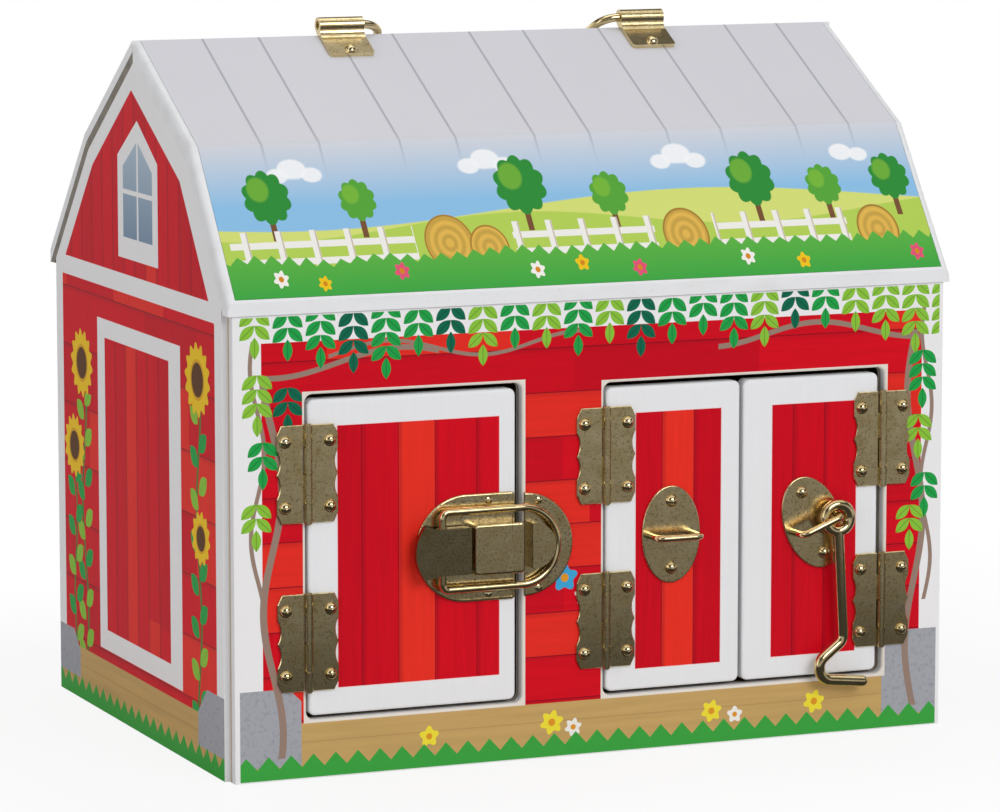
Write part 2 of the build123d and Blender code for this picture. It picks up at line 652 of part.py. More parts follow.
def eye_plate():
    plate = extrude(Ellipse(EYE_HALF_W, EYE_HALF_H), EYE_T)
    plate = fillet(plate.faces().sort_by(Axis.Z)[-1].edges(), EYE_ROUND)
    for w in (-EYE_NAIL_W, EYE_NAIL_W):
        plate -= rod_between(0, w, 0, EYE_T, NAIL_R + NAIL_FIT)
    for u in (-STAPLE_HALF_SPAN, STAPLE_HALF_SPAN):
        plate -= rod_between(u, 0, 0, EYE_T, STAPLE_R + STAPLE_FIT)
    return plate


def staple():
    """Wire staple standing on the door, its legs through the plate."""
    half = STAPLE_HALF_SPAN
    straight = STAPLE_DEPTH - STAPLE_BEND
    diagonal = STAPLE_BEND * (1 - cos(radians(45)))
    path = Wire([
        Line((-half, 0, 0), (-half, 0, straight)),
        ThreePointArc(
            (-half, 0, straight), (-half + diagonal, 0, STAPLE_DEPTH - diagonal),
            (-half + STAPLE_BEND, 0, STAPLE_DEPTH)),
        Line((-half + STAPLE_BEND, 0, STAPLE_DEPTH), (half - STAPLE_BEND, 0, STAPLE_DEPTH)),
        ThreePointArc(
            (half - STAPLE_BEND, 0, STAPLE_DEPTH), (half - diagonal, 0, STAPLE_DEPTH - diagonal),
            (half, 0, straight)),
        Line((half, 0, straight), (half, 0, 0)),
    ])
    return round_wire(path, STAPLE_R)


def cabin_hook():
    """Round-wire hook with a ring, drawn hooked and then turned down to hang."""
    centre_x, centre_z = HOOKED_LEG
    bend = (centre_x + HOOK_SLANT_RUN, centre_z - HOOK_DROP)
    reach = hypot(HOOK_SLANT_RUN, HOOK_DROP)
    leave = atan2(-HOOK_DROP, HOOK_SLANT_RUN) + acos(HOOK_ARCH_R / reach)
    tangent = (centre_x + HOOK_ARCH_R * cos(leave), centre_z + HOOK_ARCH_R * sin(leave))
    top = (pi + leave) / 2
    crest = (centre_x + HOOK_ARCH_R * cos(top), centre_z + HOOK_ARCH_R * sin(top))
    run_x = RING_LEG[0] - bend[0]
    run_z = RING_LEG[1] - bend[1]
    run = hypot(run_x, run_z)
    way = (run_x / run, run_z / run)
    ring = (RING_LEG[0] - RING_SLACK * way[0], RING_LEG[1] - RING_SLACK * way[1])
    shank_end = (ring[0] - RING_R * way[0], ring[1] - RING_R * way[1])
    left = centre_x - HOOK_ARCH_R
    prong = Line((left, centre_z - HOOK_PRONG), (left, centre_z))
    arch = ThreePointArc((left, centre_z), crest, tangent)
    shank = FilletPolyline(tangent, bend, shank_end, radius=HOOK_BEND_R)
    path = Wire([prong, arch, *shank.edges()])
    hook = round_wire(path, HOOK_R)
    hook += Pos(left, centre_z - HOOK_PRONG, 0) * Sphere(HOOK_R)
    hook += Pos(ring[0], ring[1], 0) * Torus(RING_R, HOOK_R)
    hook = hook.moved(Location((0, 0, HOOK_H)))
    leg = Pos(RING_LEG[0], RING_LEG[1], 0)
    return leg * Rot(Z=HOOK_HANG_TURN) * leg.inverse() * hook


# ---------------------------------------------------------------- boards with holes
def front_panel(wall_nails):
    """Front wall with both door openings and the fasteners' holes."""
    openings = [
        (LEFT_OPENING_X, LEFT_OPENING_X + LEFT_OPENING_W, DOOR_OPENING_FLOOR, OPENING_TOP_LEFT),
        (PAIR_OPENING_X, PAIR_OPENING_X + PAIR_OPENING_W, DOOR_OPENING_FLOOR, OPENING_TOP_PAIR),
    ]
    panel = slab(-PANEL_LENGTH / 2, PANEL_LENGTH / 2, 0, PANEL_HEIGHT, -PANEL_T, 0)
    for x0, x1, z0, z1 in openings:
        panel -= slab(x0, x1, z0, z1, -PANEL_T, 0, OPENING_CORNER)
    front_face = panel.faces().sort_by(Axis.Z)[-1]
    rims = [edge for wire in front_face.inner_wires() for edge in wire.edges()]
    panel = fillet(rims, OPENING_ROUND)
    for hole in nail_holes(wall_nails) + nail_holes(KEEPER_SCREWS, KEEPER_SCREW_DEPTH):
        panel -= hole
    return panel


def door_panel(limits, holes):
    x0, x1, z0, z1 = limits
    panel = slab(x0, x1, z0, z1, -DOOR_T, 0, DOOR_CORNER)
    panel = fillet(panel.faces().sort_by(Axis.Z)[-1].edges(), DOOR_ROUND)
    for hole in holes:
        panel -= hole
    return panel


# ---------------------------------------------------------------- carry handle
HANDLE_Z = RIDGE[1] + CLIP_RISE
BACK_SLOPE = atan2(RIDGE[1] - BACK_KNEE[1], BACK_KNEE[0])


def down_front_slope(shape):
    """Place a shape drawn with x down the front slope and z out of it, at the ridge."""
    down = FRONT_UPPER[0][0] - FRONT_UPPER[1][0], FRONT_UPPER[0][1] - FRONT_UPPER[1][1]
    length = hypot(*down)
    x_dir = (0, down[0] / length, down[1] / length)
    z_dir = (0, down[1] / length, -down[0] / length)
    return shape.moved(Plane(origin=(0, *RIDGE), x_dir=x_dir, z_dir=z_dir).location)


def handle_clip(centre_x):
    """Strap wrapped round the rod, both ends laid down the front slope and screwed."""
    length = hypot(KNEE[0] - RIDGE[0], KNEE[1] - RIDGE[1])
    axis_down = -CLIP_RISE * (RIDGE[1] - KNEE[1]) / length
    axis_out = CLIP_RISE * (RIDGE[0] - KNEE[0]) / length
    flap_t = 2 * CLIP_STRAP_T
    eye = Pos(axis_down, centre_x, axis_out) * Rot(X=90) * Cylinder(CLIP_R, CLIP_LENGTH)
    flap = slab(
        axis_down, CLIP_FLAP, centre_x - CLIP_LENGTH / 2, centre_x + CLIP_LENGTH / 2, 0, flap_t)
    clip = eye + flap
    valley = [
        e for e in clip.edges()
        if abs((e @ 0.5).Z - flap_t) < NEAR
        and abs((e @ 0.5).Y - centre_x) < NEAR
        and 0 < (e @ 0.5).X < CLIP_FLAP / 2
    ]
    clip = fillet(valley, CLIP_SWEEP)
    tips = [
        e for e in clip.edges()
        if (e @ 0.5).X > CLIP_FLAP - NEAR and abs((e % 0.5).Z) > 0.9
    ]
    clip = fillet(tips, CLIP_CORNER)
    clip -= Pos(axis_down, centre_x, axis_out) * Rot(X=90) * Cylinder(ROD_R + ROD_FIT, CLIP_LENGTH)
    clip -= rod_between(CLIP_SCREW_DOWN, centre_x, 0, flap_t, NAIL_R + NAIL_FIT)
    return clip


def carry_handle():
    """Bent rod through both clips, its arms leaning in to the grip, folded back on the roof."""
    left_end = CLIP_LEFT_X - CLIP_LENGTH / 2 + ROD_END_IN
    right_end = CLIP_RIGHT_X + CLIP_LENGTH / 2 - ROD_END_IN
    turn = HANDLE_START + HANDLE_BEND * tan(radians(HANDLE_SLANT / 2))
    lean = HANDLE_REACH / tan(radians(HANDLE_SLANT))
    left_arm = CLIP_LEFT_X + CLIP_LENGTH / 2 + turn
    right_arm = CLIP_RIGHT_X - CLIP_LENGTH / 2 - turn
    path = FilletPolyline(
        (left_end, 0), (left_arm, 0), (left_arm + lean, HANDLE_REACH),
        (right_arm - lean, HANDLE_REACH), (right_arm, 0), (right_end, 0),
        radius=(HANDLE_BEND, HANDLE_GRIP_BEND, HANDLE_GRIP_BEND, HANDLE_BEND))
    rod = round_wire(path, ROD_R)
    room = CLIP_RISE * cos(BACK_SLOPE) - ROD_R - HANDLE_REST_GAP
    fold = degrees(BACK_SLOPE + asin(room / HANDLE_REACH))
    return Pos(0, 0, HANDLE_Z) * Rot(X=-fold) * rod


# ---------------------------------------------------------------- assembly
front_roof()
back_roof()
gables()
half_floor_x = GABLE_X - GABLE_T - FLOOR_FIT
half_floor_y = INNER_Y - FLOOR_FIT
keep("floor_board", slab(-half_floor_x, half_floor_x, -half_floor_y, half_floor_y, 0, FLOOR_T))
keep("back_panel", slab(
    -PANEL_LENGTH / 2, PANEL_LENGTH / 2, INNER_Y, DEPTH / 2, 0, BACK_PANEL_HEIGHT))

wall_nail_places = []
wall_nail_places += hang_door("left_door", LEFT_AXIS_X, 1)
wall_nail_places += hang_door("pair_left", PAIR_LEFT_AXIS_X, 1)
wall_nail_places += hang_door("pair_right", PAIR_RIGHT_AXIS_X, -1)
keep("wall_hinge_nails", on_front(nails(wall_nail_places, LEAF_T)))
keep("front_panel", on_front(front_panel(wall_nail_places)))

keep("left_door_panel", on_front(door_panel(
    LEFT_DOOR,
    nail_holes(nail_places(LEFT_AXIS_X, 1)) + nail_holes(BASE_SCREWS, BASE_SCREW_DEPTH))))
keep("pair_left_panel", on_front(door_panel(
    PAIR_LEFT_DOOR,
    nail_holes(nail_places(PAIR_LEFT_AXIS_X, 1)) + nail_holes(eye_nail_places(LEFT_EYE)))))
keep("pair_right_panel", on_front(door_panel(
    PAIR_RIGHT_DOOR,
    nail_holes(nail_places(PAIR_RIGHT_AXIS_X, -1)) + nail_holes(eye_nail_places(RIGHT_EYE)))))

keep("latch_base", on_front(latch_base()))
keep("latch_base_screws", on_front(latch_screw_set(BASE_SCREWS, PLATE_T - BASE_DISH)))
keep("latch_pin", on_front(across(PIVOT_X, LEVER_PIVOT_H, 2 * LEVER_HALF_W, LEVER_PIN_R)))
keep("latch_lever", on_front(latch_lever()))
keep("latch_bail", on_front(latch_bail()))
keep("latch_keeper", on_front(latch_keeper()))
keep("latch_keeper_screws", on_front(latch_screw_set(KEEPER_SCREWS, PLATE_T)))

for leaf, eye in (("pair_left", LEFT_EYE), ("pair_right", RIGHT_EYE)):
    keep(f"{leaf}_eye_plate", on_front(eye_spot(eye) * eye_plate()))
    keep(f"{leaf}_staple", on_front(eye_spot(eye) * staple()))
    keep(f"{leaf}_eye_nails", on_front(nails(eye_nail_places(eye), EYE_T)))
keep("cabin_hook", on_front(cabin_hook()))

clip_screw = dome(DOME_R, DOME_H, NAIL_R, 2 * CLIP_STRAP_T)
clip_screws = []
for clip_name, clip_x in (("handle_clip_left", CLIP_LEFT_X), ("handle_clip_right", CLIP_RIGHT_X)):
    keep(clip_name, down_front_slope(handle_clip(clip_x)))
    clip_screws.append(down_front_slope(
        Pos(CLIP_SCREW_DOWN, clip_x, 2 * CLIP_STRAP_T) * clip_screw))
keep("clip_screws", Compound(clip_screws))
keep("carry_handle", carry_handle())

os.makedirs("parts", exist_ok=True)
for node_name, node_shape in nodes.items():
    export_step(node_shape, f"parts/{node_name}.step")
print(len(nodes), "nodes")
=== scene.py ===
# %% [markdown]
# # A toy barn with opening doors
# The barn is a box of thin boards under a bent roof. Its walls carry printed paper, its doors hang on
# brass hinges, and a draw latch and a hook keep them shut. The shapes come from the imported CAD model
# and stay as they are. This script gives every board and fitting its finish, and adds the floor, the
# lamps, the room and the camera.

# %% Load the model as a fixed frame
from math import cos, hypot, pi, radians, sin

import bmesh
import bpy
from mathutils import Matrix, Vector

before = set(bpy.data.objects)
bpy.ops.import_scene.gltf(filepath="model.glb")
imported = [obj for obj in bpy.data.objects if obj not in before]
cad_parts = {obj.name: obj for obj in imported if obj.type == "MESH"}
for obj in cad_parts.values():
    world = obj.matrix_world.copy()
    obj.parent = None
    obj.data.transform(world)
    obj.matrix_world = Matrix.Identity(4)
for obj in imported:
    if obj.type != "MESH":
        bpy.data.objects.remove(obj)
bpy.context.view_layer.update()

# %% [markdown]
# ## Colours
# Print and paint colours are written as the screen shows them. Blender works with linear light, so
# one function turns a written colour into the numbers that a shader needs.

# %% Colours as linear light
def colour(code):
    parts = [int(code[i:i + 2], 16) / 255 for i in (0, 2, 4)]
    light = (p / 12.92 if p <= 0.04045 else ((p + 0.055) / 1.055) ** 2.4 for p in parts)
    return (*light, 1.0)


RED = colour("D8061E")
DEEP_RED = colour("C0021C")
ORANGE_RED = colour("EC3022")
RED_LINE = colour("7E0A1C")
PAINT_WHITE = colour("EEEFF1")
PRINT_WHITE = colour("F1F0F1")
LEAF_LIGHT = colour("8CC63E")
LEAF_MID = colour("22A34A")
LEAF_DARK = colour("0E6B4F")
STEM_BROWN = colour("9A8274")
TAN = colour("CBA769")
STONE = colour("A7A9B0")
GRASS = colour("3FA845")
SKY = colour("8FC3EA")
BOARD_GREY = colour("DBDBE1")
BARE_WOOD = colour("CDB58C")
SUN_YELLOW = colour("F2C81E")
PETAL_YELLOW = colour("F4E23C")
CHALK_WHITE = colour("F4F2EC")
PETAL_CREAM = colour("F7F4EE")
PETAL_BLUE = colour("3FA9DC")
PETAL_PINK = colour("E5557A")
TREE_DARK = colour("2F8F3A")
TREE_LIGHT = colour("58A83C")

# %% [markdown]
# ## Shader maths as plain sums
# A printed pattern is a lot of small arithmetic on the place of a point: is it left of this line, how
# far is it from that circle. The class below holds one socket of a material. Adding or comparing two
# of them adds the Math node that does it, so a pattern reads like the formula that it is.

# %% One socket that can be added, multiplied and compared
class Wire:
    def __init__(self, finish, socket):
        self.finish = finish
        self.socket = socket

    def sum_of(self, operation, first, second=0.0, third=0.0, clamp=False):
        settings = {"operation": operation, "use_clamp": clamp}
        return self.finish.make("ShaderNodeMath", settings, {0: first, 1: second, 2: third})

    def __add__(self, other):
        return self.sum_of("ADD", self, other)

    def __radd__(self, other):
        return self.sum_of("ADD", other, self)

    def __sub__(self, other):
        return self.sum_of("SUBTRACT", self, other)

    def __rsub__(self, other):
        return self.sum_of("SUBTRACT", other, self)

    def __mul__(self, other):
        return self.sum_of("MULTIPLY", self, other)

    def __rmul__(self, other):
        return self.sum_of("MULTIPLY", other, self)

    def __truediv__(self, other):
        return self.sum_of("DIVIDE", self, other)

    def __neg__(self):
        return self.sum_of("MULTIPLY", self, -1.0)

    def __abs__(self):
        return self.sum_of("ABSOLUTE", self)

    def __gt__(self, other):
        return self.sum_of("GREATER_THAN", self, other)

    def __lt__(self, other):
        return self.sum_of("LESS_THAN", self, other)

    def floor(self):
        return self.sum_of("FLOOR", self)

    def sine(self):
        return self.sum_of("SINE", self)

    def most(self, other):
        return self.sum_of("MAXIMUM", self, other)

    def least(self, other):
        return self.sum_of("MINIMUM", self, other)

    def limited(self):
        return self.sum_of("ADD", self, 0.0, clamp=True)

    def root(self):
        return self.sum_of("SQRT", self)

    def other(self, name):
        """Another output of the node that this socket belongs to."""
        return Wire(self.finish, self.socket.node.outputs[name])


# %% [markdown]
# ## One way to make a node
# `make` is the only place where a node is made, in a material and in the world. It says what kind it
# is, then fills or links its sockets.

# %% A node tree and its one way to make a node
class Graph:
    def __init__(self, owner):
        owner.use_nodes = True
        self.tree = owner.node_tree
        self.tree.nodes.clear()

    def make(self, kind, settings, sockets, out=0):
        node = self.tree.nodes.new(kind)
        for key, value in settings.items():
            setattr(node, key, value)
        for key, value in sockets.items():
            if isinstance(value, Wire):
                self.tree.links.new(value.socket, node.inputs[key])
            else:
                node.inputs[key].default_value = value
        return Wire(self, node.outputs[out]) if node.outputs else None


# %% [markdown]
# ## A finish is one material
# `x`, `y` and `z` are the place of a point in millimetres in the piece's own frame, so a print stays
# on its door when the door swings.

# %% The finish
MM = 1000.0


class Finish(Graph):
    def __init__(self, name):
        self.material = bpy.data.materials.new(name)
        super().__init__(self.material)
        self.place = self.make("ShaderNodeTexCoord", {}, {}, out="Object")
        side = self.make("ShaderNodeSeparateXYZ", {}, {0: self.place})
        self.x, self.y, self.z = (side.other(name) * MM for name in ("X", "Y", "Z"))

    def noise(self, size, detail=3.0, stretch=(1, 1, 1), seed=0.0):
        """Soft noise whose blotches are about as large as the size in millimetres."""
        scale = [MM / (size * s) for s in stretch]
        spot = self.make("ShaderNodeMapping", {}, {
            0: self.place, "Scale": scale, "Location": (seed, seed, seed)})
        return self.make("ShaderNodeTexNoise", {}, {"Vector": spot, "Scale": 1.0, "Detail": detail})

    def dice(self, first, second=0.0):
        """A fixed random number for each pair of whole numbers."""
        spot = self.make("ShaderNodeCombineXYZ", {}, {0: first, 1: second, 2: 0.37})
        return self.make("ShaderNodeTexWhiteNoise", {"noise_dimensions": "3D"}, {"Vector": spot})

    def mix(self, under, over, mask):
        return self.make(
            "ShaderNodeMix", {"data_type": "RGBA"}, {0: mask, 6: under, 7: over}, out=2)

    def shade(self, under, amount):
        """Darken or lighten a colour by a factor that may change over the surface."""
        grey = self.make("ShaderNodeCombineColor", {}, {0: amount, 1: amount, 2: amount})
        return self.make(
            "ShaderNodeMix", {"data_type": "RGBA", "blend_type": "MULTIPLY"},
            {0: 1.0, 6: under, 7: grey}, out=2)

    def relief(self, height, depth, strength=1.0):
        return self.make(
            "ShaderNodeBump", {}, {"Height": height, "Distance": depth / MM, "Strength": strength})

    def surface(self, base, roughness, normal, metallic=0.0, coat=0.0, specular=0.5):
        shader = self.make("ShaderNodeBsdfPrincipled", {}, {
            "Base Color": base, "Roughness": roughness, "Normal": normal, "Metallic": metallic,
            "Coat Weight": coat, "Coat Roughness": 0.12, "Specular IOR Level": specular})
        self.make("ShaderNodeOutputMaterial", {}, {0: shader})
        return self.material


# %% [markdown]
# ## Shapes of a flat print
# Each shape gives the distance to its outline in millimetres, below zero inside. `ink` turns that
# into a mask with a soft edge a seventh of a millimetre wide, as ink on paper has.

# %% Outlines: box, disc, leaf, flower, tree top, wavy stem
def ink(distance, soft=0.14):
    return distance.sum_of("SUBTRACT", 0.5, distance / soft, clamp=True)


def box_edge(u, v, u0, u1, v0, v1):
    return (abs(u - (u0 + u1) / 2) - (u1 - u0) / 2).most(abs(v - (v0 + v1) / 2) - (v1 - v0) / 2)


def disc_edge(u, v, cu, cv, radius, squash=1.0):
    du = u - cu
    dv = (v - cv) / squash
    return (du * du + dv * dv).root() - radius


def leaf_edge(u, v, cu, cv, turn, half_length, half_width):
    along = (u - cu) * cos(radians(turn)) + (v - cv) * sin(radians(turn))
    aside = (v - cv) * cos(radians(turn)) - (u - cu) * sin(radians(turn))
    reach = along / half_length
    return abs(aside) - (1.0 - reach * reach) * half_width, abs(aside)


def flower_edge(u, v, cu, cv, radius, petals, depth=0.16):
    du = u - cu
    dv = v - cv
    away = (du * du + dv * dv).root()
    around = du.sum_of("ARCTAN2", dv, du)
    return away - ((around * petals).sine() * depth + (1.0 - depth)) * radius, away


def crown_edge(u, v, cu, cv, radius, bumps):
    """A round tree top with soft bumps."""
    du = u - cu
    dv = v - cv
    around = du.sum_of("ARCTAN2", dv, du)
    return (du * du + dv * dv).root() - (abs((around * (bumps / 2)).sine()) * 0.15 + 0.86) * radius


def stem_edge(u, v, cu, swing, wave, shift, half_width, v0, v1):
    centre = (v * (2 * pi / wave) + shift).sine() * swing + cu
    return (abs(u - centre) - half_width).most(abs(v - (v0 + v1) / 2) - (v1 - v0) / 2)


# %% [markdown]
# ## Painted boards in print
# The walls show wooden boards: bands of red of slightly different shade, with a dark line between
# them that fades into the board below. One random number for each board picks its shade.

# %% Boards across, with shaded joints
BOARD_LENGTH, LENGTH_SHIFT = 74.0, 90.0
BRIGHT_FROM = 0.78
SHADOW_HEIGHT = 2.2


def red_boards(f, along, across, pitch, start, streak, line=0.35):
    row = (across - start) / pitch
    board = row.floor()
    inside = (row - board) * pitch
    piece = ((along + f.dice(board, 3.0) * LENGTH_SHIFT) / BOARD_LENGTH).floor()
    tint = f.dice(board, piece)
    base = f.mix(RED, DEEP_RED, (tint * 1.6 - 0.5).limited())
    base = f.mix(base, ORANGE_RED, (tint > BRIGHT_FROM) * 0.85)
    base = f.shade(base, streak * 0.22 + 0.9)
    fade = (pitch - inside) / SHADOW_HEIGHT
    shadow = (1.0 - fade).limited() * 0.28
    base = f.mix(base, RED_LINE, shadow)
    edge = abs(inside - pitch / 2) - (pitch / 2 - line / 2)
    return f.mix(base, RED_LINE, ink(-edge, 0.2) * 0.9)


# %% [markdown]
# ## Hanging leaves
# A sprig is one small picture: pairs of pointed leaves down a stalk and a single leaf at its tip. A
# garland repeats it under the roof's edge, where a random number for each column picks its length and
# its green. Single sprigs climb the sides.

# %% A sprig of leaf pairs, and a row of sprigs
# A leaf is its middle aside and down, its turn in degrees, half its length and half its width.
SPRIG_STEP = 5.0
SIDE_LEAF = (2.85, 2.5, 42.0, 3.8, 1.95)
TIP_LEAF = (0.0, 3.0, 90.0, 3.9, 1.8)
VEIN = 0.16
FEWEST_PAIRS, MORE_PAIRS, HANG_SPREAD = 2.0, 2.99, 3.4
MID_FROM, DARK_FROM = 0.38, 0.80


def sprig(f, base, x, down, count, green):
    row = (down / SPRIG_STEP).floor()
    inside = down - row * SPRIG_STEP
    leaves = veins = None
    for away in (-1.0, 0.0, 1.0):
        here = ((row + away) < count) * ((row + away) > -0.5)
        edge, vein = leaf_edge(abs(x), inside - away * SPRIG_STEP, *SIDE_LEAF)
        leaf = ink(edge) * here
        line = ink(vein - VEIN) * leaf
        leaves = leaf if leaves is None else leaves.most(leaf)
        veins = line if veins is None else veins.most(line)
    tip_edge, tip_vein = leaf_edge(x, down - count * SPRIG_STEP, *TIP_LEAF)
    tip = ink(tip_edge)
    veins = veins.most(ink(tip_vein - VEIN) * tip)
    leaves = leaves.most(tip)
    return f.mix(base, f.shade(green, 1.0 - veins * 0.42), leaves)


def garland(f, base, u, v, top, pitch, seed, start):
    cell = ((u - start) / pitch).floor()
    x = u - start - (cell + 0.5) * pitch
    count = (f.dice(cell, seed) * MORE_PAIRS).floor() + FEWEST_PAIRS
    down = top - v + f.dice(cell, seed + 5.0) * HANG_SPREAD
    pick = f.dice(cell, seed + 9.0)
    green = f.mix(LEAF_LIGHT, LEAF_MID, pick > MID_FROM)
    green = f.mix(green, LEAF_DARK, pick > DARK_FROM)
    return sprig(f, base, x, down, count, green)


# %% Grass blades along the foot of a wall
BLADE_HEIGHT = 4.6


def grass(f, base, u, v, tip=9.0, pitch=8.5):
    saw = abs((u / pitch) - (u / pitch + 0.5).floor()) * 2.0
    return f.mix(base, GRASS, ink(v - (tip - saw * BLADE_HEIGHT), 0.2))


# %% Grey stones in a corner, the base board between them
# A stone is the middle of its box, its width and height, and how far out its upper corner is cut.
BASE_LOW, BASE_JOINT_LOW, BASE_JOINT_HIGH, BASE_TOP = -1.0, 13.2, 13.5, 20.2
HALF_DIAGONAL = 0.7071


def stone_foot(f, base, u, v, u0, u1, stones):
    grain = f.noise(9.0, 4.0, (6, 6, 0.35), 2.0)
    board = f.shade(TAN, grain * 0.35 + 0.8)
    joint = ink(box_edge(u, v, u0, u1, BASE_JOINT_LOW, BASE_JOINT_HIGH), 0.3) * 0.4
    board = f.mix(board, colour("8F6D3B"), joint)
    base = f.mix(base, board, ink(box_edge(u, v, u0, u1, BASE_LOW, BASE_TOP)))
    speck = f.noise(1.6, 2.0, seed=7.0)
    rock = f.mix(STONE, colour("8E9098"), (speck * 3.0 - 1.5).limited())
    for cu, cv, w, h, cut in stones:
        edge = box_edge(u, v, cu - w / 2, cu + w / 2, cv - h / 2, cv + h / 2)
        slope = ((u - cu) * (1 if cut > 0 else -1) + (v - cv)) * HALF_DIAGONAL - abs(cut)
        base = f.mix(base, rock, ink(edge.most(slope)))
    return base


# %% [markdown]
# ## Printed paper
# All prints share one surface: smooth paper with a faint waviness and a low gloss. The gables take
# less of it, because they are seen at a slant, where gloss would wash their red out. The raw edge of a
# board shows the thin layers of its plywood.

# %% Paper gloss and the plywood's edge
PAPER_GLOSS, GABLE_GLOSS = 0.12, 0.04
PLY_LAYERS = 5.0


def paper(f, base, gloss=PAPER_GLOSS):
    wave = f.noise(14.0, 2.0)
    fine = f.noise(0.9, 3.0)
    rough = fine * 0.12 + 0.32
    bump = f.relief(wave + fine * 0.05, 0.10, 0.4)
    return f.surface(base, rough, bump, specular=gloss)


def ply_edge(f, across, thickness, start):
    layer = (across - start) / thickness * PLY_LAYERS
    number = layer.floor()
    grain = f.noise(2.2, 4.0, (8, 8, 8), 1.0)
    speckle = f.noise(0.5, 3.0, (1, 1, 9), 4.0)
    tint = f.dice(number, 11.0)
    dark = (tint * 0.8 + grain * 0.4 - 0.1).limited()
    wood = f.mix(colour("D9C5A1"), colour("A98B62"), dark)
    return f.shade(wood, speckle * 0.3 + 0.82)


# %% [markdown]
# ## The front wall
# From the bottom: grass, a tan base board between grey corner stones, red boards, a white band under
# the eave and white strips at both sides, leaves hanging from the top and climbing the sides, and two
# brown stems. Both door openings have a bare white rounded edge.

# %% What the front wall carries, in millimetres
# Both walls: the first joint and the height of a board, the foot between the stones, the garland.
BOARD_START, BOARD_PITCH = 21.4, 16.1
FOOT_LEFT, FOOT_RIGHT = -139.0, 139.0
GARLAND_TOP, GARLAND_PITCH, GARLAND_START = 166.0, 12.4, -138.0
PLY = 6.0
WALL_STONES = ((-127.0, 19.0, 24.0, 28.0, 15.0), (128.0, 21.0, 24.0, 32.0, -15.0))
# Stems: middle line, swing, wave length, shift, half width, and from where to where.
CLIMBING_STEMS = (
    (-125.5, 3.6, 88.0, 0.4, 1.35, 8.0, 145.0),
    (-131.0, 2.6, 61.0, 2.0, 0.8, 60.0, 158.0),
    (129.0, 3.4, 95.0, 2.6, 1.35, 8.0, 150.0),
    (133.6, 2.2, 57.0, 0.8, 0.8, 48.0, 160.0))
HANGING_STEMS = (
    (149.0, 4.4, 96.0, 0.3, 1.0, -128.0, -62.0),
    (152.6, 3.4, 74.0, 2.2, 0.7, -104.0, -6.0),
    (151.0, 3.6, 83.0, 1.2, 1.0, 48.0, 131.0))
# Sprigs: middle, top, pairs of leaves, green. Flowers: middle, radius, petals, colour.
SIDE_SPRIGS = (
    (-131.0, 146.0, 3.0, LEAF_LIGHT), (-119.5, 141.0, 2.0, LEAF_DARK),
    (-129.0, 122.0, 2.0, LEAF_MID), (-131.6, 100.0, 2.0, LEAF_LIGHT),
    (131.8, 142.0, 3.0, LEAF_MID), (130.2, 118.0, 2.0, LEAF_LIGHT),
    (133.0, 96.0, 2.0, LEAF_MID), (127.0, 84.0, 2.0, LEAF_LIGHT))
FRONT_FLOWERS = (
    (-18.0, 13.0, 4.6, 6, PETAL_YELLOW), (-9.5, 10.6, 3.4, 6, CHALK_WHITE),
    (88.0, 12.6, 4.4, 6, PETAL_YELLOW), (-66.0, 11.6, 3.9, 5, PETAL_YELLOW),
    (46.0, 12.2, 4.2, 6, PETAL_YELLOW), (55.5, 10.2, 3.2, 5, CHALK_WHITE),
    (-13.0, 66.0, 5.2, 5, PETAL_BLUE), (-5.4, 59.0, 3.8, 5, CHALK_WHITE))
DOOR_HOLES = ((-113.0, -29.6, 21.2, 138.2), (2.5, 116.2, 21.2, 136.4))
HOLE_RIM = 1.1


# %% Front wall print
def front_print():
    f = Finish("print_front")
    x, z = f.x, f.z
    streak = f.noise(3.0, 4.0, (9, 9, 0.4))
    base = red_boards(f, x, z, BOARD_PITCH, BOARD_START, streak)
    side_left = ink(x + 129.4)
    side_right = ink(131.4 - x)
    base = f.mix(base, PRINT_WHITE, side_left.most(side_right))
    base = f.mix(base, PRINT_WHITE, ink(157.2 - z))
    base = stone_foot(f, base, x, z, FOOT_LEFT, FOOT_RIGHT, WALL_STONES)
    for stem in CLIMBING_STEMS:
        base = f.mix(base, STEM_BROWN, ink(stem_edge(x, z, *stem)))
    for stem in HANGING_STEMS:
        base = f.mix(base, STEM_BROWN, ink(stem_edge(z, x, *stem)))
    for cu, top, count, green in SIDE_SPRIGS:
        base = sprig(f, base, x - cu, top - z, count, green)
    base = garland(f, base, x, z, GARLAND_TOP, GARLAND_PITCH, 4.0, GARLAND_START)
    for cu, cv, r, petals, tone in FRONT_FLOWERS:
        edge, away = flower_edge(x, z, cu, cv, r, petals)
        base = f.mix(base, tone, ink(edge))
        base = f.mix(base, colour("E39A2A"), ink(away - r * 0.3))
    base = grass(f, base, x, z)
    rim = ink(abs(x - 0.2) - 138.4).least(ink(abs(z - 83.4) - 83.0))
    base = f.mix(PRINT_WHITE, base, rim)
    for u0, u1, v0, v1 in DOOR_HOLES:
        edge = box_edge(x, z, u0 - HOLE_RIM, u1 + HOLE_RIM, v0 - HOLE_RIM, v1 + HOLE_RIM)
        base = f.mix(base, colour("E9E2D8"), ink(edge))
    wood = ply_edge(f, f.y, PLY, -101.0)
    face = ink(f.y + 100.0, 0.1)
    wall = f.mix(f.shade(PAINT_WHITE, 0.93), wood, ink(abs(f.y + 96.6) - 0.8, 0.3) * 0.8)
    inner_face = ink(-95.08 - f.y, 0.05)
    wall = f.mix(wall, BARE_WOOD, inner_face)
    return paper(f, f.mix(wall, base, face))


front = front_print()

# %% [markdown]
# ## The gable ends
# A white border follows the roof's slopes. Above the white band the boards stand upright round a
# five-sided loft window, and below it a tall printed door stands between the boards.

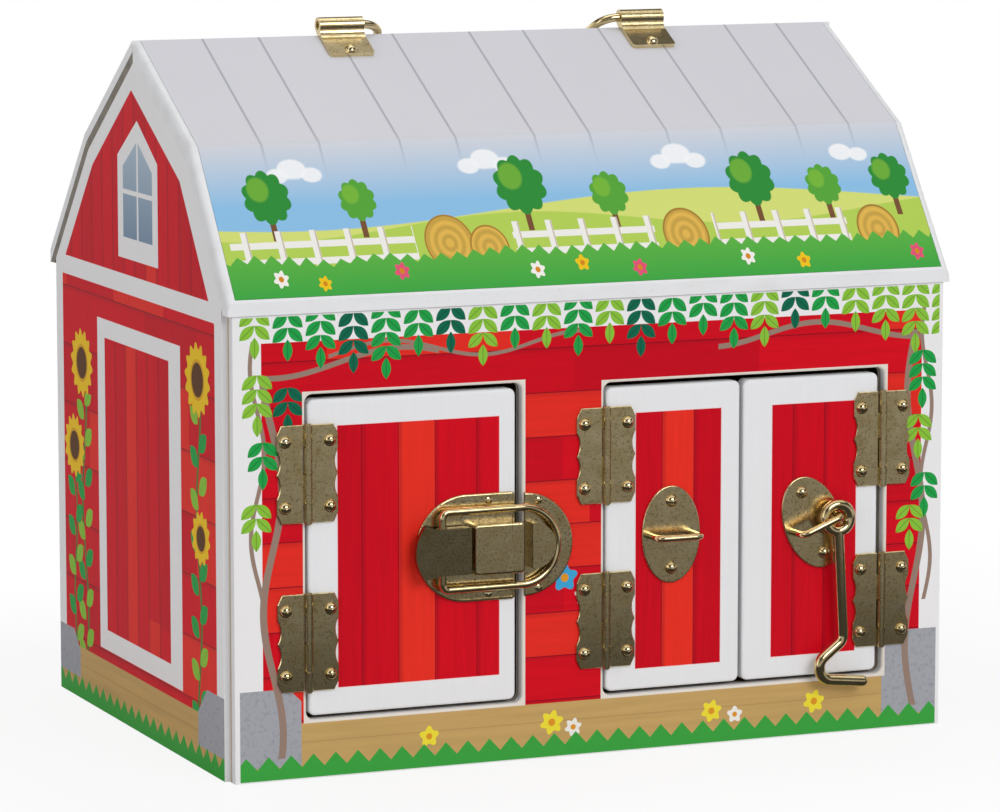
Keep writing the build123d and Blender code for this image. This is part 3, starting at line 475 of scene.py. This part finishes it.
# %% What a gable carries, in millimetres
# Roof slopes: both ends as y and z, and the width of the white border under them.
SLOPES = (
    ((-102.0, 172.0), (-62.9, 223.8), 17.0), ((-62.9, 223.8), (0.0, 257.7), 17.0),
    ((0.0, 257.7), (57.8, 218.8), 14.0), ((57.8, 218.8), (102.0, 170.8), 14.0))
BAND, HALF_BAND = 167.0, 3.6
WINDOW_SHIFT, OPEN_TOP = 4.1, 300.0
VINE_STEMS = (
    (-69.5, 2.4, 78.0, 0.4, 0.95, 8.0, 139.0), (62.0, 2.8, 84.0, 2.1, 0.95, 8.0, 128.0),
    (74.0, 2.0, 66.0, 4.1, 0.8, 8.0, 96.0))
VINE_GREEN = colour("4E7A35")
VINE_STEP = 15.5
SUNFLOWERS = (
    (-69.0, 141.0, 13.6, 14), (64.5, 131.0, 13.2, 14),
    (74.4, 98.0, 12.2, 14), (-71.5, 84.0, 10.0, 12))
GABLE_STONES = ((-84.0, 19.0, 34.0, 22.0, 13.0), (84.0, 17.0, 28.0, 18.0, -11.0))


# %% Gable print, the same on both ends
def gable_print():
    f = Finish("print_gable")
    y, z = f.y, f.z
    streak = f.noise(3.0, 4.0, (9, 0.9, 6))
    upright_streak = f.noise(3.0, 4.0, (9, 0.5, 9), 3.0)
    low_boards = red_boards(f, y * 1.3, z, 22.5, 24.0, streak)
    high_boards = red_boards(f, z * 0.4, y, 12.6, -63.0, upright_streak)
    base = f.mix(low_boards, high_boards, z > BAND)
    base = f.mix(base, PRINT_WHITE, ink(abs(z - BAND) - HALF_BAND))
    for (ay, az), (by, bz), border in SLOPES:
        run, rise = by - ay, bz - az
        length = hypot(run, rise)
        depth = (y - ay) * (rise / length) - (z - az) * (run / length)
        base = f.mix(base, PRINT_WHITE, ink(depth - border))
    base = f.mix(base, PRINT_WHITE, ink(y + 87.6).most(ink(87.0 - y)))
    base = f.mix(base, PRINT_WHITE, ink(box_edge(y, z, -50.4, 45.0, 24.6, 151.0)))
    plank = red_boards(f, z * 0.5, y, 12.4, -37.6, upright_streak)
    base = f.mix(base, plank, ink(box_edge(y, z, -37.4, 36.4, 32.4, 144.0)))
    pane = box_edge(y, z, -26.9, 18.7, 176.6, OPEN_TOP)
    roof_edge = ((abs(y + WINDOW_SHIFT) * 0.62) + (z - 228.6)) * 0.85
    base = f.mix(base, PRINT_WHITE, ink(pane.most(roof_edge)))
    glass = box_edge(y, z, -20.8, 12.6, 184.5, OPEN_TOP).most(roof_edge + 6.4)
    dusk = f.mix(colour("7E95AE"), colour("B9CBDA"), ((z - 184.0) / 42.0).limited())
    base = f.mix(base, dusk, ink(glass))
    cross = (abs(y + WINDOW_SHIFT) - 0.9).least(abs(z - 201.5) - 0.9)
    base = f.mix(base, PRINT_WHITE, ink(cross) * ink(glass))
    for stem in VINE_STEMS:
        cu, low_end, high_end = stem[0], stem[5], stem[6]
        base = f.mix(base, VINE_GREEN, ink(stem_edge(y, z, *stem)))
        cell = (z / VINE_STEP).floor()
        inside = z - cell * VINE_STEP
        for sign, lift in ((-1, -3.2), (1, 2.6)):
            turn = 90 - sign * 52
            leaf, vein = leaf_edge(y, inside + lift, cu + sign * 4.6, 7.0, turn, 5.4, 3.3)
            green = f.mix(LEAF_MID, LEAF_LIGHT, f.dice(cell, cu) > 0.66)
            green = f.shade(green, ink(vein - 0.15) * -0.25 + 1.0)
            part = box_edge(y, z, cu - 11, cu + 11, low_end + 6, high_end - 8)
            base = f.mix(base, green, ink(leaf) * ink(part, 0.1))
    for cu, cv, r, petals in SUNFLOWERS:
        edge, away = flower_edge(y, z, cu, cv, r, petals, 0.09)
        base = f.mix(base, SUN_YELLOW, ink(edge))
        base = f.mix(base, colour("D99A16"), ink(away - r * 0.55) * 0.8)
        base = f.mix(base, colour("5E3A1C"), ink(away - r * 0.46))
    base = stone_foot(f, base, y, z, -96.0, 96.0, GABLE_STONES)
    base = grass(f, base, y, z, 8.8)
    layers = ply_edge(f, abs(f.x), PLY, 136.0)
    edge_wood = f.mix(PAINT_WHITE, layers, ink(abs(abs(f.x) - 139.2) - 0.7, 0.3) * 0.8)
    face = ink(141.95 - abs(f.x), 0.05)
    inside_face = ink(abs(f.x) - 136.05, 0.05)
    wall = f.mix(edge_wood, BARE_WOOD, inside_face)
    return paper(f, f.mix(wall, base, face), GABLE_GLOSS)


gable = gable_print()

# %% [markdown]
# ## The back wall
# The photograph doesn't show it. It carries on with the same boards, white strips and base.

# %% Back wall print
def back_print():
    f = Finish("print_back")
    x, z = f.x, f.z
    streak = f.noise(3.0, 4.0, (9, 9, 0.4))
    base = red_boards(f, x, z, BOARD_PITCH, BOARD_START, streak)
    base = f.mix(base, PRINT_WHITE, ink(130.0 - abs(x)))
    base = f.mix(base, PRINT_WHITE, ink(156.0 - z))
    base = stone_foot(f, base, x, z, FOOT_LEFT, FOOT_RIGHT, WALL_STONES)
    base = garland(f, base, x, z, GARLAND_TOP, GARLAND_PITCH, 14.0, GARLAND_START)
    base = grass(f, base, x, z)
    wood = ply_edge(f, f.y, PLY, 95.0)
    wood = f.mix(wood, BARE_WOOD, ink(f.y - 95.08, 0.05))
    face = ink(100.9 - f.y, 0.1)
    return paper(f, f.mix(wood, base, face))


back = back_print()

# %% [markdown]
# ## Doors
# A door is a white-painted board with a red printed panel, upright planks with a fine joint between
# them and, but for the last door, one plank of a warmer red. The brush leaves faint strokes in the
# paint.

# %% One door's paint and print
DOOR_GLOSS = 0.12
NO_WARM_PLANK = (200.0, 201.0)


def door_finish(name, u0, u1, v0, v1, joints, warm):
    f = Finish("paint_" + name)
    x, z = f.x, f.z
    streak = f.noise(2.6, 4.0, (0.5, 9, 9), len(name))
    red = f.mix(RED, DEEP_RED, (f.noise(40.0, 1.0, (1, 9, 9)) * 2.0 - 0.8).limited())
    red = f.shade(red, streak * 0.3 + 0.84)
    lit = f.shade(ORANGE_RED, streak * 0.2 + 0.92)
    red = f.mix(red, lit, ink(box_edge(x, z, warm[0], warm[1], v0, v1)))
    for joint in joints:
        beside = ink(abs(x - joint - 0.7) - 0.6, 1.2) * 0.35
        red = f.mix(red, RED_LINE, beside.most(ink(abs(x - joint) - 0.16, 0.2) * 0.95))
    strokes = f.noise(5.0, 4.0, (0.4, 4, 12), 2.0)
    paint = f.shade(PAINT_WHITE, strokes * 0.05 + 0.965)
    front_face = ink(f.y + 100.7, 0.1)
    inside = box_edge(x, z, u0, u1, v0, v1)
    halo = f.mix(paint, colour("F6D9DA"), ink(inside - 0.35, 0.3) * front_face * 0.6)
    base = f.mix(halo, red, ink(inside) * front_face)
    base = f.mix(base, colour("D4BE98"), ink(-95.05 - f.y, 0.05))
    fine = f.noise(0.8, 3.0)
    wave = f.noise(11.0, 2.0)
    rough = fine * 0.14 + 0.26
    bump = f.relief(strokes * 0.5 + wave + fine * 0.06, 0.10, 0.5)
    return f.surface(base, rough, bump, specular=DOOR_GLOSS)


single_door = door_finish(
    "single_door", -100.9, -38.7, 32.2, 126.6, (-91.7, -77.6, -63.5, -47.4), (-77.6, -63.5))
pair_left = door_finish("pair_left", 15.1, 49.3, 30.3, 124.8, (25.6, 38.4), (25.6, 38.4))
pair_right = door_finish("pair_right", 70.0, 104.6, 30.6, 124.7, (78.6, 91.4), NO_WARM_PLANK)

# %% [markdown]
# ## The roof's print
# Pale boards at the top turn into a sky, with clouds, hills, round trees, a fence and hay in front,
# and a strip of grass along the eave. The scene is a plain countryside.

# %% What the roof sheet carries, in millimetres
# All but the joints and the fence parts: middle, radius, and petals or colour where they differ.
ROOF_JOINTS = (-115.0, -93.0, -62.0, -40.0, -9.0, 13.0, 44.0, 66.0, 97.0, 119.0)
CLOUD_PUFFS = (
    (-112, 213, 4.0), (-106, 215, 5.5), (-99, 213, 4.0), (-38, 214, 4.2), (-31, 216, 5.6),
    (-24, 214, 4.2), (38, 213, 4.0), (45, 215.4, 5.8), (52, 213, 4.2), (112, 214, 4.6),
    (119, 213, 3.8))
TREES = (
    (-118, 206, 9.0, TREE_DARK), (-84, 204, 7.0, TREE_LIGHT), (-20, 207, 10.0, TREE_DARK),
    (14, 203, 7.4, TREE_LIGHT), (72, 206, 9.4, TREE_DARK), (101, 203, 7.0, TREE_LIGHT),
    (129, 205, 8.0, TREE_DARK))
HAY = ((-53.0, 188.5, 9.5), (-38.0, 186.5, 7.5), (40.0, 188.0, 9.0), (118.0, 187.0, 8.4))
FENCE_LOW, FENCE_HIGH, POST_PITCH = 170.0, 200.0, 13.0
LAWN_PITCH = 6.4
ROOF_FLOWERS = (
    (-120.0, 179.0, 3.0, 6, PETAL_CREAM), (-104.0, 177.0, 2.6, 6, SUN_YELLOW),
    (-74.0, 180.0, 3.0, 6, PETAL_PINK), (-22.0, 178.4, 3.0, 6, PETAL_CREAM),
    (-4.0, 180.0, 2.8, 5, SUN_YELLOW), (18.0, 177.6, 3.0, 6, PETAL_PINK),
    (62.0, 179.6, 3.0, 6, PETAL_CREAM), (84.0, 177.4, 2.8, 5, SUN_YELLOW),
    (131.0, 178.6, 3.0, 6, PETAL_PINK))


# %% Roof print
def roof_print():
    f = Finish("print_roof")
    x, z = f.x, f.z
    top = f.shade(BOARD_GREY, f.noise(60.0, 2.0) * 0.06 + 0.97)
    for joint in ROOF_JOINTS:
        fade = ((z - 212.0) / 16.0).limited()
        top = f.mix(top, colour("A9A9B2"), ink(abs(x - joint) - 0.45, 0.35) * fade * 0.8)
    base = f.mix(SKY, top, ((z - 203.0) / 22.0).limited())
    for cu, cv, r in CLOUD_PUFFS:
        puff = disc_edge(x, z, cu, cv, r, 0.62).most(float(cv) - 3.2 - z)
        base = f.mix(base, colour("FBFCFE"), ink(puff, 0.9) * 0.9)
    far = z - ((x * 0.021 + 0.6).sine() * 4.6 + 199.0)
    near = z - ((x * 0.034 + 2.4).sine() * 3.4 + 194.5)
    base = f.mix(base, colour("D8E27A"), ink(far, 0.3))
    base = f.mix(base, colour("B7D45A"), ink(near, 0.3))
    for cu, cv, r, tone in TREES:
        trunk = box_edge(x, z, cu - 1.1, cu + 1.1, cv - r - 5.5, float(cv))
        base = f.mix(base, colour("7A5236"), ink(trunk))
        base = f.mix(base, tone, ink(crown_edge(x, z, cu, cv, r, 10), 0.3))
        shine = disc_edge(x, z, cu - r * 0.3, cv + r * 0.3, r * 0.45)
        base = f.mix(base, LEAF_LIGHT, ink(shine, 0.9) * 0.55)
    for cu, cv, r in HAY:
        hay = disc_edge(x, z, cu, cv, r)
        ring = (disc_edge(x, z, cu, cv, 0.0) * 2.1).sine() * 0.14 + 0.93
        base = f.mix(base, f.shade(colour("E0B552"), ring), ink(hay))
        base = f.mix(base, colour("9A6E2C"), ink(abs(hay + 0.3) - 0.3) * 0.8)
    post = (x / POST_PITCH) - (x / POST_PITCH + 0.5).floor()
    rails = (abs(z - 190.2) - 1.1).least(abs(z - 184.6) - 1.1)
    posts = (abs(post * POST_PITCH) - 1.3).most(abs(z - 187.2) - 7.6)
    part = box_edge(x, z, -136.0, -66.0, FENCE_LOW, FENCE_HIGH)
    part = part.least(box_edge(x, z, 52.0, 106.0, FENCE_LOW, FENCE_HIGH))
    part = part.least(box_edge(x, z, -28.0, 28.0, FENCE_LOW, FENCE_HIGH))
    fence = ink(rails.least(posts)) * ink(part, 0.1)
    base = f.mix(base, CHALK_WHITE, fence)
    base = f.mix(base, colour("B9A68C"), fence * ink(abs(post * POST_PITCH - 1.0) - 0.3) * 0.7)
    saw = abs((x / LAWN_PITCH) - (x / LAWN_PITCH + 0.5).floor()) * 2.0
    patch = f.noise(30.0, 2.0) * 6.0
    lawn = f.mix(GRASS, colour("5DB446"), ((z - 173.0) / 12.0).limited())
    base = f.mix(base, lawn, ink(z - (patch + 183.2 - saw * 2.6), 0.25))
    for cu, cv, r, petals, tone in ROOF_FLOWERS:
        edge, away = flower_edge(x, z, cu, cv, r, petals)
        base = f.mix(base, tone, ink(edge))
        base = f.mix(base, colour("D98A1E"), ink(away - r * 0.32))
    return paper(f, base)


roof_sheet = roof_print()

# %% [markdown]
# ## White paint and raw wood
# The roof's rim and the back slopes are painted white, a little worn and grey along the edges. The
# boards under the back slopes and the floor show plain wood.

# %% White paint on the roof's edges and back
def rim_paint():
    f = Finish("paint_rim")
    dirt = f.noise(7.0, 5.0, (3, 1, 1))
    spots = f.noise(1.3, 4.0, seed=5.0)
    base = f.mix(PAINT_WHITE, colour("C9C7C4"), (dirt * 1.6 - 0.72).limited() * 0.5)
    base = f.mix(base, colour("B2A99B"), (spots * 8.0 - 5.4).limited() * 0.5)
    grain = (f.noise(6.0, 4.0, (8, 1, 1)) * 1.4 - 0.2).limited()
    under = f.mix(BARE_WOOD, colour("B69A6E"), grain)
    facing = f.make("ShaderNodeNewGeometry", {}, {}, out="True Normal")
    tilt = f.make("ShaderNodeSeparateXYZ", {}, {0: facing}, out="Z")
    base = f.mix(base, under, (tilt < -0.45) * (f.z < 400.0) * ink(abs(f.y) - 100.2, 0.2))
    bump = f.relief(f.noise(9.0, 3.0) + spots * 0.1, 0.15, 0.5)
    return f.surface(base, f.noise(2.0, 3.0) * 0.16 + 0.30, bump, coat=0.1, specular=0.4)


rim = rim_paint()

# %% Raw boards: floor and the inside of the back roof
def raw_wood(name, stretch, tones):
    f = Finish("wood_" + name)
    grain = f.noise(5.0, 6.0, stretch)
    pores = f.noise(0.7, 4.0, stretch, 3.0)
    base = f.mix(tones[0], tones[1], (grain * 2.0 - 0.6).limited())
    base = f.shade(base, pores * 0.35 + 0.8)
    bump = f.relief(grain + pores * 0.4, 0.15, 0.6)
    return f.surface(base, pores * 0.2 + 0.55, bump)


floor_wood = raw_wood("floor", (12, 1, 1), (colour("CDB38A"), colour("A5875C")))
roof_wood = raw_wood("roof", (12, 1, 1), (colour("8F877C"), colour("6E655A")))

# %% [markdown]
# ## Brass
# The fittings are thin plated brass: bright on wires and domes, a little cloudy on flat plates, with
# fine scratches and darker spots. Roughness and colour share that work. The thumb lever shows dark in
# the photograph, very likely because of what it mirrors. Here its colour itself is darkened by 62
# percent, a painted shade, so it stays dark from every side, which the real one wouldn't. The latch's
# base and keeper get 10 percent of the same painted shade.

# %% Brass for plates, wires and domes
def brass(name, cloud, rough, scratch, depth=0.0):
    f = Finish("brass_" + name)
    haze = f.noise(6.0, 5.0)
    speck = f.noise(0.8, 5.0, seed=2.0)
    base = f.mix(colour("EBDAAE"), colour("CDB47C"), (haze * 1.8 - 0.5).limited())
    base = f.mix(base, colour("7A673C"), (speck * 6.0 - 3.1).limited() * cloud)
    # depth is painted shade: it darkens the whole colour, standing in for dark reflections.
    base = f.shade(base, 1.0 - depth)
    lines = f.noise(0.35, 3.0, (14, 1, 1), 6.0)
    gloss = haze * 0.08 + speck * 0.08 * cloud + rough
    height = lines * 0.5 * scratch + speck * 0.3 * cloud + f.noise(7.0, 2.0, seed=8.0)
    bump = f.relief(height, 0.04, 0.35)
    return f.surface(base, gloss, bump, metallic=1.0)


plate_brass = brass("plate", 0.5, 0.16, 0.8)
# The lever and the latch's base and keeper carry painted shade in their colour.
shaded_lever_brass = brass("lever", 0.7, 0.17, 0.8, depth=0.62)
shaded_latch_brass = brass("latch", 0.7, 0.15, 0.8, depth=0.1)
wire_brass = brass("wire", 0.15, 0.08, 0.2)
dome_brass = brass("dome", 0.15, 0.08, 0.2)

# %% [markdown]
# ## Dress every CAD node
# Each node keeps its shape and gets its finish. Nails and screws are bright domes, and what else isn't
# listed by name is brass plate.

# %% Hand out the finishes
finishes = {
    "front_panel": front, "left_gable": gable, "right_gable": gable, "back_panel": back,
    "left_door_panel": single_door, "pair_left_panel": pair_left, "pair_right_panel": pair_right,
    "front_roof_sheet": roof_sheet, "front_roof_lower_board": rim, "front_roof_upper_board": rim,
    "back_roof_skin": rim, "back_roof_lower_board": roof_wood, "back_roof_upper_board": roof_wood,
    "floor_board": floor_wood,
    "latch_lever": shaded_lever_brass, "latch_base": shaded_latch_brass, "latch_keeper": shaded_latch_brass,
    "latch_bail": wire_brass, "cabin_hook": wire_brass, "carry_handle": wire_brass,
    "pair_left_staple": wire_brass, "pair_right_staple": wire_brass,
}
for name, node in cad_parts.items():
    given = finishes.get(name)
    if given is None:
        given = dome_brass if ("nails" in name or "screws" in name) else plate_brass
    for place in node.material_slots:
        place.material = given
print("dressed", len(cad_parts), "nodes")

# %% [markdown]
# ## Floor, light and camera
# A pale floor under and behind the barn, a large soft lamp in front and above, a weak one from the
# left and one from the top. The camera stands a little left of the front, just above the doors, as in
# the photograph.
#
# Reflections see something else than the camera does, and that is a weak point of this scene. The
# floor in front is white to the camera and nearly black to the brass, and the mirrored room is white
# behind the barn and overhead and dim elsewhere. It gives the dark plates of the photograph from its
# own height, but from higher up they turn almost black. A plain pale room would be truer.

# %% A pale floor with the barn's soft shadow, white where it ends
# Near the barn 12 percent of the floor's own light and shade shows, and further out none of it.
FLOOR_FRONT, FLOOR_FAR, FLOOR_SIDE = 0.45, 3.0, 3.0
FLOOR_DROP = 0.0002
FADE_FROM, FADE_OVER, SHADE_SHOWN = 60.0, 160.0, 0.12
FLOOR_MIRRORED = 0.05


def studio_floor():
    mesh = bmesh.new()
    bmesh.ops.create_grid(mesh, x_segments=4, y_segments=4, size=1.0)
    bmesh.ops.scale(mesh, verts=mesh.verts, vec=(FLOOR_SIDE, (FLOOR_FAR + FLOOR_FRONT) / 2, 1))
    bmesh.ops.translate(mesh, verts=mesh.verts, vec=(0, (FLOOR_FAR - FLOOR_FRONT) / 2, -FLOOR_DROP))
    data = bpy.data.meshes.new("studio_floor")
    mesh.to_mesh(data)
    mesh.free()
    ground = bpy.data.objects.new("studio_floor", data)
    bpy.context.scene.collection.objects.link(ground)
    f = Finish("floor_white")
    away = box_edge(f.x, f.y, -140.0, 140.0, -102.0, 102.0)
    fade = ((away - FADE_FROM) / FADE_OVER).limited() * SHADE_SHOWN + (1.0 - SHADE_SHOWN)
    matt = f.make("ShaderNodeBsdfPrincipled", {}, {
        "Base Color": colour("F2F2F2"), "Roughness": 0.6})
    glow = f.make("ShaderNodeEmission", {}, {"Color": colour("FFFFFF"), "Strength": 1.0})
    rays = f.make("ShaderNodeLightPath", {}, {})
    plain = rays.other("Is Camera Ray") * fade
    both = f.make("ShaderNodeMixShader", {}, {0: plain, 1: matt, 2: glow})
    dim = f.make("ShaderNodeEmission", {}, {"Color": (1, 1, 1, 1), "Strength": FLOOR_MIRRORED})
    in_front = (1.0 - (f.y + 100.0) / 60.0).limited()
    mirrored = rays.other("Is Glossy Ray") * in_front
    seen = f.make("ShaderNodeMixShader", {}, {0: mirrored, 1: both, 2: dim})
    f.make("ShaderNodeOutputMaterial", {}, {0: seen})
    data.materials.append(f.material)


studio_floor()

# %% Soft lamps
def lamp(name, place, target, size, power):
    data = bpy.data.lights.new(name, "AREA")
    data.shape = "RECTANGLE"
    data.size, data.size_y = size
    data.energy = power
    thing = bpy.data.objects.new(name, data)
    bpy.context.scene.collection.objects.link(thing)
    thing.location = place
    thing.rotation_mode = "QUATERNION"
    thing.rotation_quaternion = (Vector(target) - Vector(place)).to_track_quat("-Z", "Y")


lamp("key_front", (0.35, -2.0, 1.15), (0, 0, 0.12), (1.3, 0.9), 19.0)
lamp("fill_left", (-1.7, -0.6, 0.7), (0, 0, 0.12), (0.6, 1.1), 3.2)
lamp("top", (0.0, 0.3, 1.7), (0, 0, 0.2), (1.2, 0.8), 4.0)

# %% A room whose mirror image is white behind the barn and dim in front
ROOM_LIGHT, ROOM_DIM, ROOM_GLOW = 0.45, 0.05, 0.48


def pale_room():
    room = bpy.data.worlds.new("pale_room")
    bpy.context.scene.world = room
    g = Graph(room)
    way = g.make("ShaderNodeTexCoord", {}, {}, out="Generated")
    side = g.make("ShaderNodeSeparateXYZ", {}, {0: way})
    backwards, upwards = side.other("Y"), side.other("Z")
    behind = (backwards * 1.6 + 0.35).limited() * (1.0 - (upwards - 0.30) * 4.0).limited()
    overhead = ((0.44 - abs(backwards + 0.12)) * 6.0).limited() * ((upwards - 0.55) * 5.0).limited()
    horizon = ((upwards + 0.182) * 14.0).limited()
    in_front = horizon * (1.0 - (upwards - 0.05) * 3.0).limited() * ROOM_GLOW
    mirrored = behind.most(overhead).most(in_front) * (1.0 - ROOM_DIM) + ROOM_DIM
    rays = g.make("ShaderNodeLightPath", {}, {})
    seen = rays.other("Is Camera Ray")
    shiny = rays.other("Is Glossy Ray")
    lighting = (1.0 - seen.most(shiny)) * ROOM_LIGHT
    level = lighting + seen + (shiny * (1.0 - seen)) * mirrored
    sky = g.make("ShaderNodeBackground", {}, {"Color": (1, 1, 1, 1), "Strength": level})
    g.make("ShaderNodeOutputWorld", {}, {0: sky})


pale_room()

# %% The camera
AZIMUTH, ELEVATION, DISTANCE = radians(-22.675), radians(7.987), 1.9129
AIM = Vector((0.0038, 0.0, 0.11485))
FOCAL_LENGTH, SENSOR_WIDTH = 180.83, 36.0
aside, forward = sin(AZIMUTH) * cos(ELEVATION), -cos(AZIMUTH) * cos(ELEVATION)
outwards = Vector((aside, forward, sin(ELEVATION)))
lens = bpy.data.cameras.new("camera")
lens.lens = FOCAL_LENGTH
lens.sensor_width = SENSOR_WIDTH
camera = bpy.data.objects.new("camera", lens)
bpy.context.scene.collection.objects.link(camera)
camera.location = AIM + outwards * DISTANCE
camera.rotation_mode = "QUATERNION"
camera.rotation_quaternion = (-outwards).to_track_quat("-Z", "Y")
bpy.context.scene.camera = camera
bpy.context.scene.view_settings.view_transform = "Standard"
